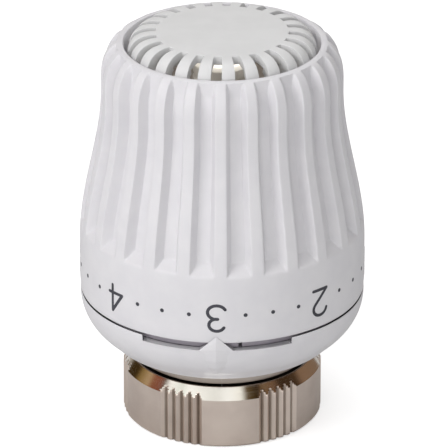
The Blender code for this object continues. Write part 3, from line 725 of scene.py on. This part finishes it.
def make_base():
    """The bowl with its windows and pointer, and the threaded tower inside."""
    wall = [(RIM_R - 0.12, RIM_Z), (RIM_R - 0.03, RIM_Z - 0.04), (RIM_R, RIM_Z - 0.14)]
    bowl = arc(BOWL_CENTRE, (RIM_R - BOWL_CENTRE[0], BOWL_DEPTH), -3, -50, 22)
    foot = [(20.35, 15.1), (19.95, 14.72), (19.5, 14.38), (19.0, 14.1)]
    foot += [(18.6, BOWL_FOOT + 0.04), (18.2, BOWL_FOOT)]
    inside = [
        (15.75, BOWL_FOOT), (15.7, BOWL_FOOT + 0.1), (15.7, 15.6), (12.9, 15.6), (12.9, 14.1),
        (12.7, BOWL_FOOT), (10.3, BOWL_FOOT), (10.2, BOWL_FOOT + 0.1), (10.2, 29.0), (2.9, 29.0),
        (2.9, 31.0), (10.2, 31.0), (10.2, 34.8), (10.4, 35.0), (11.4, 35.0), (11.6, 34.8), (11.6, 16.8),
        (17.2, 16.8), (17.2, 22.0), (18.3, 22.0), (18.9, 20.8), (18.9, 19.5), (18.3, 19.5), (18.3, 16.8),
        (20.9, 16.8), (21.4, 19.9), (23.0, 19.9), (23.1, WINDOW_Z + 0.02), (24.5, WINDOW_Z + 0.1),
        (24.7, RIM_Z),
    ]
    profile = wall + bowl + foot + inside

    def shape(row, r, z, angle):
        if r > 22.9 and z > WINDOW_Z and in_window(angle, r):
            z = WINDOW_Z + (z - RIM_Z) * 0.2
        return r, angle, z

    base = revolved("base_bowl", profile, window_angles(), shape)
    finish_piece(base, "fixed_body", ["base"], WHITE, 38)
    # Painted shade: the rim's top and the cavity behind it are black, so the gap under the wheel reads as a
    # dark line.
    second_material(base, BLACK_PLASTIC_AND_PAINTED_SHADE, lambda r, z, n: 23.0 < r < 24.8 and z > WINDOW_Z + 0.04)
    finish_piece(pointer_mesh(), "fixed_body", [], WHITE, 28)
    section = [(11.3, -0.8), (11.3, 0.8), (12.25, 0.4), (12.25, -0.4)]
    thread = feed_thread("base_tower_thread", section, 25.5, 1.4, (0, 180))
    finish_piece(thread, "fixed_body", [], WHITE)


def hull(points):
    """The convex solid that wraps the points."""
    work = bmesh.new()
    for point in points:
        work.verts.new(point)
    wrapped = bmesh.ops.convex_hull(work, input=work.verts)
    loose = [v for v in wrapped["geom_interior"] if isinstance(v, bmesh.types.BMVert)]
    bmesh.ops.delete(work, geom=loose, context="VERTS")
    bmesh.ops.recalc_face_normals(work, faces=work.faces)
    return solid("hull", work)


def pointer_mesh():
    """The raised pointer, two facets that meet in a ridge, and the sloping wall behind it."""
    front = [(25.24, 0.0, 25.15), (25.45, 0.0, 24.3), (25.45, 0.0, 22.7)]
    front += [(24.8, 0.0, 20.2), (23.85, 0.0, 18.4), (22.4, 0.0, 16.8)]
    root = []
    for side in (-1, 1):
        front += [(25.14, side * 0.9, 24.75), (25.1, side * 2.9, 23.55)]
        front += [(24.78, side * (POINTER_HALF + 0.2), 22.15), (24.2, side * 6.0, 20.0)]
        front += [(23.3, side * 4.5, 18.3)]
        root += [(23.12, side * POINTER_HALF, 22.2), (24.8, side * POINTER_HALF, 22.2)]
        root += [(23.12, side * 2.2, 23.35), (24.9, side * 2.6, 23.4)]
    facets = bevelled(hull([place(*point) for point in front]), 0.16, 3, 10)
    wall = bevelled(hull([place(*point) for point in root]), 0.06, 2, 20)
    return joined("base_pointer", [facets, wall])


def make_limit_rings():
    """The two setting rings, seen through the base's windows, each with a stop tab inside."""
    for low, tab, slit, name, body in (
        (20.2, -141.5, -150.0, "limit_ring_min", "limit_min_body"),
        (21.95, 96.5, 10.3, "limit_ring_max", "limit_max_body"),
    ):
        section = rounded([(22.7, low), (22.7, low + 1.5), (21.1, low + 1.5), (21.1, low)], 0.12)
        ring = sector("ring", section, slit + 0.8, slit + 359.2, 240)
        section = [(20.65, low + 0.1), (20.65, low + 1.4), (21.3, low + 1.4), (21.3, low + 0.1)]
        lug = sector("lug", rounded(section, 0.1), tab - 3, tab + 3, 6)
        piece = joined(name + "_band", [ring, lug])
        finish_piece(piece, body, [name], LILAC)


# ---------------------------------------------------------------- nut and sleeve


def knurl_depth(angle):
    """How deep the knurl cuts the nut's side at this angle."""
    period = 360.0 / KNURL_GROUPS
    off = (angle - KNURL_PHASE + period / 2) % period - period / 2
    if abs(off) > KNURL_GROOVES * KNURL_PITCH / 2:
        return 0.0
    within = abs((off + KNURL_GROOVES * KNURL_PITCH / 2) % KNURL_PITCH - KNURL_PITCH / 2)
    return KNURL_DEPTH * (1 - within / (KNURL_PITCH / 2))


def nut_angles():
    """Columns round the nut: six to each knurl groove, and even ones on the smooth panels."""
    angles = []
    period = 360.0 / KNURL_GROUPS
    half = KNURL_GROOVES * KNURL_PITCH / 2
    for group in range(KNURL_GROUPS):
        start = KNURL_PHASE + group * period - half
        angles += [start + KNURL_PITCH * i / 6 for i in range(KNURL_GROOVES * 6)]
        panel = period - 2 * half
        angles += [start + 2 * half + panel * i / 20 for i in range(20)]
    return angles


def make_union_nut():
    """The nut: knurled side, bright chamfer, the groove for its wire, and the thread."""
    side = [(NUT_R - 0.35, 0.0), (NUT_R - 0.1, 0.12), (NUT_R, 0.4)]
    side += [(NUT_R, 0.4 + 0.7 * i) for i in range(1, 12)]
    slope = [CHAMFER_Z - 0.6 + 0.1 * i for i in range(27)]
    chamfer = [(NUT_R, z) for z in slope if z < NUT_TOP - 0.05]
    top = [(NUT_RIM_R, NUT_TOP), (NUT_COLLAR_R + 0.1, NUT_TOP), (NUT_COLLAR_R, NUT_TOP - 0.1)]
    bore = [(NUT_COLLAR_R, 9.2), (16.3, 9.2), (16.3, 8.0), (NUT_COLLAR_R, 8.0)]
    bore += [(NUT_COLLAR_R, THREAD_TOP + 0.4)]
    thread_rows = 62
    step = (THREAD_TOP - 0.8) / thread_rows
    thread = [(THREAD_R, THREAD_TOP - step * i) for i in range(thread_rows + 1)]
    mouth = [(THREAD_R + 0.55, 0.05), (THREAD_R + 0.65, 0.0)]
    profile = side + chamfer + top + bore + thread + mouth
    side_rows = len(side) + len(chamfer)
    thread_first = side_rows + len(top) + len(bore)
    taper = (NUT_R - NUT_RIM_R) / (NUT_TOP - CHAMFER_Z)

    def shape(row, r, z, angle):
        if row < side_rows:
            cone = NUT_R - taper * (z - CHAMFER_Z)
            foot = NUT_R - max(0.0, 0.4 - z) * 0.9
            r = min(r, NUT_R - knurl_depth(angle), cone, foot)
        elif thread_first <= row < thread_first + len(thread):
            wave = abs(((z / THREAD_PITCH - angle / 360.0) % 1.0) - 0.5) * 2
            fade = min(1.0, (z - 0.75) / 0.5, (THREAD_TOP + 0.05 - z) / 0.5)
            r = THREAD_R - THREAD_DEPTH * min(1.0, max(0.0, wave * 1.3 - 0.15)) * max(0.0, fade)
        return r, angle, z

    nut = revolved("union_nut_body", profile, nut_angles(), shape)
    finish_piece(nut, "nut_body", ["union_nut"], NICKEL_SATIN, 22)
    second_material(nut, NICKEL_BRIGHT, lambda r, z, n: z > CHAMFER_Z - 0.05 and 0.35 < abs(n.z) < 0.98)
    # Painted shade: the faces deep in the knurl's grooves get the darker nickel.
    deep = NUT_R - KNURL_DEPTH * 0.55
    second_material(nut, NICKEL_SHADED, lambda r, z, n: 16.4 < r < deep and abs(n.z) < 0.3)


def make_sleeve():
    """The slotted sleeve: a whole ring above the nut and four sectors between its slits."""
    low, top = SLEEVE_LOW.z, SLEEVE_HIGH.z
    slit_top = top - 1.1
    section = [(SLEEVE_R, slit_top), (SLEEVE_R, top), (SLEEVE_BORE, top), (SLEEVE_BORE, slit_top)]
    parts = [revolved("ring", rounded(section, 0.15), even_angles(192))]
    section = rounded(
        [
            (SLEEVE_R, slit_top + 0.02), (SLEEVE_R, GROOVE_TOP), (GROOVE_R, GROOVE_TOP - 0.1),
            (GROOVE_R, GROOVE_LOW + 0.2), (SLEEVE_R, GROOVE_LOW), (SLEEVE_R, 9.2), (14.75, 9.2),
            (14.75, 8.0), (SLEEVE_R, 8.0), (SLEEVE_R, low + 1.2), (SEAT_R, low), (SLEEVE_BORE, low),
            (SLEEVE_BORE, slit_top + 0.02),
        ],
        0.12,
    )
    for quarter in range(4):
        first = SLEEVE_SLIT_PHASE + 90 * quarter
        parts.append(sector("finger", section, first + SLEEVE_SLIT_HALF, first + 90 - SLEEVE_SLIT_HALF, 48))
    sleeve = joined("connector_sleeve_body", parts)
    finish_piece(sleeve, "fixed_body", ["connector_sleeve"], NICKEL_DARK)

    def in_groove(r, z, normal):
        return GROOVE_R - 0.1 < r < SLEEVE_R - 0.1 and GROOVE_LOW - 0.1 < z < GROOVE_TOP

    # Painted shade: the groove's faces get near-black nickel, so the gap above the nut reads dark.
    second_material(sleeve, NICKEL_PAINTED_SHADE, in_groove)


# ---------------------------------------------------------------- inner pieces


def make_turned(name, node, body, profile, material, edge=0.15, columns=96, ring=True):
    """A turned piece that stands for one node. Its profile is (radius, z) points with rounded corners."""
    section = rounded(profile, edge, 3, ring)
    finish_piece(revolved(name, section, even_angles(columns), None, ring), body, [node], material)


def make_sensor():
    """The sealed sensor: its can, end plate, filler plug, bush and bellows."""
    low, high = node_box("sensor_can")
    can_r = 11.8
    make_turned(
        "sensor_can_shell", "sensor_can", "sensor_body",
        [
            (2.0, high.z), (can_r - 1.2, high.z), (can_r - 0.35, high.z - 0.4), (can_r, high.z - 1.2),
            (can_r, 46.1), (can_r + 0.3, 45.8), (high.x, 45.8), (high.x, low.z), (can_r - 0.5, low.z),
            (can_r - 0.5, high.z - 1.3), (can_r - 1.2, high.z - 0.5), (2.0, high.z - 0.5),
        ],
        NICKEL_DARK, 0.2, 128,
    )
    make_turned(
        "sensor_end_plate_disc", "sensor_end_plate", "sensor_body",
        [(11.0, 46.4), (11.0, low.z), (4.2, low.z), (4.2, 46.4)], BRASS,
    )
    low, high = node_box("filler_boss")
    make_turned(
        "filler_boss_plug", "filler_boss", "sensor_body",
        [
            (0.0, high.z), (2.6, high.z), (2.9, high.z - 0.25), (3.6, high.z - 0.25), (3.8, high.z),
            (high.x - 0.6, high.z), (high.x, high.z - 0.6), (high.x, 64.4), (high.x - 0.5, 64.2),
            (high.x - 0.5, 63.6), (high.x, 63.4), (high.x, 62.3), (1.7, 62.3), (1.7, low.z), (0.0, low.z),
        ],
        NICKEL_MATT, 0.12, 96, False,
    )
    make_turned(
        "pin_bush_sleeve", "pin_bush", "sensor_body",
        [(3.9, 47.6), (3.9, 44.9), (2.8, 44.9), (2.8, 47.6)], BLACK_PLASTIC_AND_PAINTED_SHADE,
    )
    make_bellows()


def make_bellows():
    """A folded tube with an open foot and a closed head, left without a body of its own."""
    low, high = node_box("bellows")
    folds, wall, root, crest = 5, 0.35, 7.2, 9.2
    fold_top = high.z - 1.2
    outside, inside = [], []
    steps = folds * 16
    for i in range(steps + 1):
        z = fold_top - (fold_top - low.z) * i / steps
        wave = (1 - math.cos(2 * math.pi * i / 16)) / 2
        r = root + (crest - root) * wave
        outside.append((r, z))
        inside.append((r - wall, z))
    profile = [(0.0, high.z), (root - 0.3, high.z), (root, high.z - 0.3)] + outside
    profile += inside[::-1] + [(root - wall, high.z - 0.4), (0.0, high.z - 0.4)]
    bellows = revolved("bellows_tube", profile, even_angles(96), None, False)
    finish_piece(bellows, None, ["bellows"], BRASS, 50)
    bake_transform(bellows)


def make_rod():
    """The thrust pin out of the sensor and the push rod below it."""
    low, high = node_box("thrust_pin")
    make_turned(
        "thrust_pin_disc", "thrust_pin", "rod_body",
        [(0.0, high.z), (6.2, high.z), (6.2, high.z - 1.0), (2.5, high.z - 1.0), (2.5, low.z), (0.0, low.z)],
        SPRING, 0.2, 64, False,
    )
    low, high = node_box("push_rod")
    make_turned(
        "push_rod_stem", "push_rod", "rod_body",
        [
            (0.0, high.z), (6.0, high.z), (6.0, high.z - 1.2), (2.5, high.z - 1.2), (2.5, low.z + 1),
            (3.4, low.z + 1), (3.4, low.z), (0.0, low.z),
        ],
        BLACK_PLASTIC_AND_PAINTED_SHADE, 0.25, 64, False,
    )


def make_adjuster():
    """The threaded cup, grooved to fit the wheel's ribs, with its snap ring and the washer in it."""
    low, high = node_box("adjuster")
    groove_r = 16.0
    half = math.degrees(1.8 / 16.3)
    angles = []
    for groove in range(6):
        middle = 60.0 * groove
        angles += [middle - half - 0.05, middle - half + 0.05, middle]
        angles += [middle + half - 0.05, middle + half + 0.05]
        angles += [middle + half + (60 - 2 * half) * i / 14 for i in range(1, 14)]
    profile = [
        (16.8, high.z), (17.0, high.z - 0.2), (17.0, 42.8), (16.8, 42.5), (16.2, 42.3), (14.5, 41.7),
        (14.3, 41.5), (14.3, 27.7), (14.1, low.z), (12.8, low.z), (12.6, 27.7), (12.6, 42.5), (9.2, 42.5),
        (9.0, 42.7), (9.0, 43.8), (9.2, 44.0), (14.4, 44.0), (14.4, 54.0), (15.3, 54.0), (15.3, 55.4),
        (14.4, 55.4), (14.4, 55.7), (14.5, high.z),
    ]

    def shape(row, r, z, angle):
        off = abs((angle + 30) % 60 - 30)
        if r > groove_r and z > 40 and off < half:
            r = groove_r
        return r, angle, z

    piece = revolved("adjuster_cup", profile, sorted(angles), shape)
    finish_piece(piece, "adjuster_body", ["adjuster"], LILAC)
    section = [(12.9, -0.65), (12.9, 0.65), (12.0, 0.3), (12.0, -0.3)]
    thread = feed_thread("adjuster_thread", section, 30.2, 0.75, (192, 372))
    finish_piece(thread, "adjuster_body", [], LILAC)
    section = rounded([(15.0, 54.2), (15.0, 55.2), (12.4, 55.2), (12.4, 54.2)], 0.12)
    ring = sector("retaining_ring_wire", section, 190, 530, 180)
    finish_piece(ring, "adjuster_body", ["retaining_ring"], SPRING)
    make_turned(
        "slip_washer_disc", "slip_washer", "feed_body",
        [(13.9, 44.75), (13.9, 44.25), (9.6, 44.25), (9.6, 44.75)], BLACK_PLASTIC_AND_PAINTED_SHADE, 0.1,
    )


def make_wire(name, node, body, points, wire):
    """Round wire along a line of points."""
    curve = bpy.data.curves.new(name, "CURVE")
    curve.dimensions = "3D"
    curve.bevel_depth = wire * MM
    curve.bevel_resolution = 3
    curve.use_fill_caps = True
    spline = curve.splines.new("POLY")
    spline.points.add(len(points) - 1)
    for point, spot in zip(spline.points, points):
        point.co = (*spot, 1)
    path = linked(name + "_path", curve)
    bpy.context.view_layer.update()
    graph = bpy.context.evaluated_depsgraph_get()
    mesh = bpy.data.meshes.new_from_object(path.evaluated_get(graph))
    bpy.data.objects.remove(path)
    return finish_piece(linked(name, mesh), body, [node], SPRING, 50)


def coil_points(radius, wire, low, high, turns):
    """The centre line of a coil spring, whose end turns lie almost flat against each other."""
    per_turn, closed, flat_pitch = 40, 0.9, 2.1 * wire
    open_rise = high - low - 2 * wire - 2 * closed * flat_pitch
    points = []
    for i in range(round(turns * per_turn) + 1):
        turn = i / per_turn
        rise = min(max(turn - closed, 0), turns - 2 * closed) / (turns - 2 * closed)
        flat = min(turn, closed) + max(turn - (turns - closed), 0)
        points.append(place(radius, 360 * turn, low + wire + flat * flat_pitch + rise * open_rise))
    return points


def make_springs():
    """The overtravel spring rides with the adjuster. The return spring has no body of its own, and stops
    short of the push rod's head to leave the rod its stroke. The nut's wire is an open ring."""
    stroke = 2.0
    low, high, wire = 46.05, 53.95, 0.55
    points = coil_points(13.1, wire, low, high, 4.0)
    coil = make_wire("overtravel_spring_coil", "overtravel_spring", "adjuster_body", points, wire)
    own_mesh(coil)
    low, high, wire = 31.25, 39.75 - stroke - 0.1, 0.4
    points = coil_points(4.6, wire, low, high, 4.0)
    coil = make_wire("return_spring_coil", "return_spring", None, points, wire)
    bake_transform(coil)
    gap = 14
    points = [place(15.5, 180 + gap / 2 + (360 - gap) * i / 120, 8.6) for i in range(121)]
    make_wire("nut_retaining_wire_ring", "nut_retaining_wire", "fixed_body", points, 0.45)


# ---------------------------------------------------------------- stage, light and camera


def area_light(name, spot, target, size, power, colour=(1, 1, 1)):
    """A rectangular lamp at a spot, in metres, that faces the target."""
    lamp = bpy.data.lights.new(name, "AREA")
    lamp.shape = "RECTANGLE"
    lamp.size, lamp.size_y = size
    lamp.energy = power
    lamp.color = colour
    obj = linked(name, lamp)
    obj.location = spot
    obj.rotation_euler = (Vector(target) - Vector(spot)).to_track_quat("-Z", "Y").to_euler()
    return obj


def make_floor():
    """A pale floor that looks white from the camera and throws a duller light on the head."""
    floor_mesh = bpy.data.meshes.new("floor")
    half = 1.6
    corners = [(-half, -half, 0), (half, -half, 0), (half, half, 0), (-half, half, 0)]
    floor_mesh.from_pydata(corners, [], [(0, 1, 2, 3)])
    floor = linked("floor", floor_mesh)
    floor.location.z = cad_bounds[0][2] - 0.0002
    material, nodes, links, shader = new_material("pale_floor")
    shader.inputs["Base Color"].default_value = (0.72, 0.72, 0.72, 1)
    shader.inputs["Roughness"].default_value = 0.8
    shader.inputs["Emission Color"].default_value = (1, 1, 1, 1)
    path = nodes.new("ShaderNodeLightPath")
    glow = add_range(nodes, links, path.outputs["Is Camera Ray"], 0.0, 0.60)
    links.new(glow, shader.inputs["Emission Strength"])
    floor_mesh.materials.append(material)


def make_lights():
    """Soft light from the left, the front and above, and a faint one under the cap, which stands in
    for the light that soaks through its thin white wall."""
    target = (0, 0, 0.04)
    key = area_light("key", (-0.42, -0.34, 0.50), target, (0.30, 0.30), 1.85, (1.0, 0.99, 1.0))
    key.visible_glossy = False
    area_light("front_fill", (-0.05, -0.75, 0.25), target, (0.45, 0.3), 1.25)
    area_light("top", (0.0, 0.15, 0.75), target, (0.5, 0.5), 1.0)
    under_cap = area_light("under_cap", (0, 0, 0.0702), (0, 0, 0), (0.012, 0.012), 0.0009, (1.0, 0.98, 0.95))
    under_cap.visible_camera = False


# What reflections see of the studio: (angle round the axis, colour), from behind round by the left.
STUDIO_TONES = [
    (-180, (0.42, 0.38, 0.33)),
    (-136, (0.42, 0.38, 0.33)),
    (-128, (0.045, 0.025, 0.005)),
    (-115, (0.035, 0.018, 0.004)),
    (-108, (0.26, 0.16, 0.05)),
    (-96, (0.42, 0.29, 0.16)),
    (-90, (0.25, 0.09, 0.045)),
    (-80, (0.23, 0.075, 0.045)),
    (-75, (0.10, 0.06, 0.04)),
    (-68, (1.1, 1.09, 1.05)),
    (-52, (0.80, 0.83, 0.76)),
    (-42, (1.1, 1.1, 1.06)),
    (-8, (0.84, 0.84, 0.80)),
    (10, (1.0, 1.0, 0.97)),
    (27, (0.95, 0.93, 0.86)),
    (35, (0.10, 0.06, 0.02)),
    (50, (0.02, 0.008, 0.001)),
    (57, (0.17, 0.10, 0.05)),
    (72, (0.15, 0.08, 0.045)),
    (79, (0.04, 0.02, 0.008)),
    (101, (0.05, 0.025, 0.01)),
    (110, (0.21, 0.125, 0.075)),
    (146, (0.20, 0.13, 0.085)),
    (155, (0.62, 0.58, 0.54)),
]


def make_world():
    """An even white surround, in which reflections see dark and warm cards to the sides."""
    world = bpy.data.worlds.new("studio")
    bpy.context.scene.world = world
    world.use_nodes = True
    nodes, links = world.node_tree.nodes, world.node_tree.links
    coordinates = nodes.new("ShaderNodeTexCoord")
    split = nodes.new("ShaderNodeSeparateXYZ")
    links.new(coordinates.outputs["Generated"], split.inputs["Vector"])
    backward = nodes.new("ShaderNodeMath")
    backward.operation = "MULTIPLY"
    backward.inputs[1].default_value = -1.0
    links.new(split.outputs["Y"], backward.inputs[0])
    angle = nodes.new("ShaderNodeMath")
    angle.operation = "ARCTAN2"
    links.new(split.outputs["X"], angle.inputs[0])
    links.new(backward.outputs["Value"], angle.inputs[1])
    turn = nodes.new("ShaderNodeMapRange")
    turn.inputs["From Min"].default_value = -math.pi
    turn.inputs["From Max"].default_value = math.pi
    links.new(angle.outputs["Value"], turn.inputs["Value"])
    tones = nodes.new("ShaderNodeValToRGB")
    for i, (degrees, colour) in enumerate(STUDIO_TONES):
        position = (degrees + 180) / 360
        stop = tones.color_ramp.elements[0] if i == 0 else tones.color_ramp.elements.new(position)
        stop.position = position
        stop.color = (*colour, 1)
    links.new(turn.outputs["Result"], tones.inputs["Fac"])
    even = nodes["Background"]
    seen = nodes.new("ShaderNodeBackground")
    mix = nodes.new("ShaderNodeMixShader")
    even.inputs["Color"].default_value = (1, 1, 1, 1)
    even.inputs["Strength"].default_value = 0.51
    links.new(tones.outputs["Color"], seen.inputs["Color"])
    path = nodes.new("ShaderNodeLightPath")
    links.new(path.outputs["Is Glossy Ray"], mix.inputs["Fac"])
    links.new(even.outputs["Background"], mix.inputs[1])
    links.new(seen.outputs["Background"], mix.inputs[2])
    links.new(mix.outputs["Shader"], nodes["World Output"].inputs["Surface"])


def make_camera():
    """The viewpoint: above and in front, turned a little to the right of the pointer."""
    azimuth, elevation, distance = math.radians(2.4), math.radians(24.62), 0.955
    target = Vector((0, 0, 0.035))
    level = math.cos(elevation)
    toward = Vector((math.sin(azimuth) * level, -math.cos(azimuth) * level, math.sin(elevation)))
    camera = bpy.data.cameras.new("camera")
    camera.sensor_width = 36.0
    camera.lens = 437.5
    camera.shift_x = 0.004
    camera.clip_end = 10.0
    obj = linked("camera", camera)
    obj.location = target + toward * distance
    obj.rotation_euler = (-toward).to_track_quat("-Z", "Y").to_euler()
    bpy.context.scene.camera = obj


make_handwheel()
make_dial()
make_end_cap()
make_base()
make_limit_rings()
make_union_nut()
make_sleeve()
make_sensor()
make_rod()
make_adjuster()
make_springs()
make_floor()
make_world()
make_lights()
make_camera()
bpy.context.scene.view_settings.view_transform = "Standard"
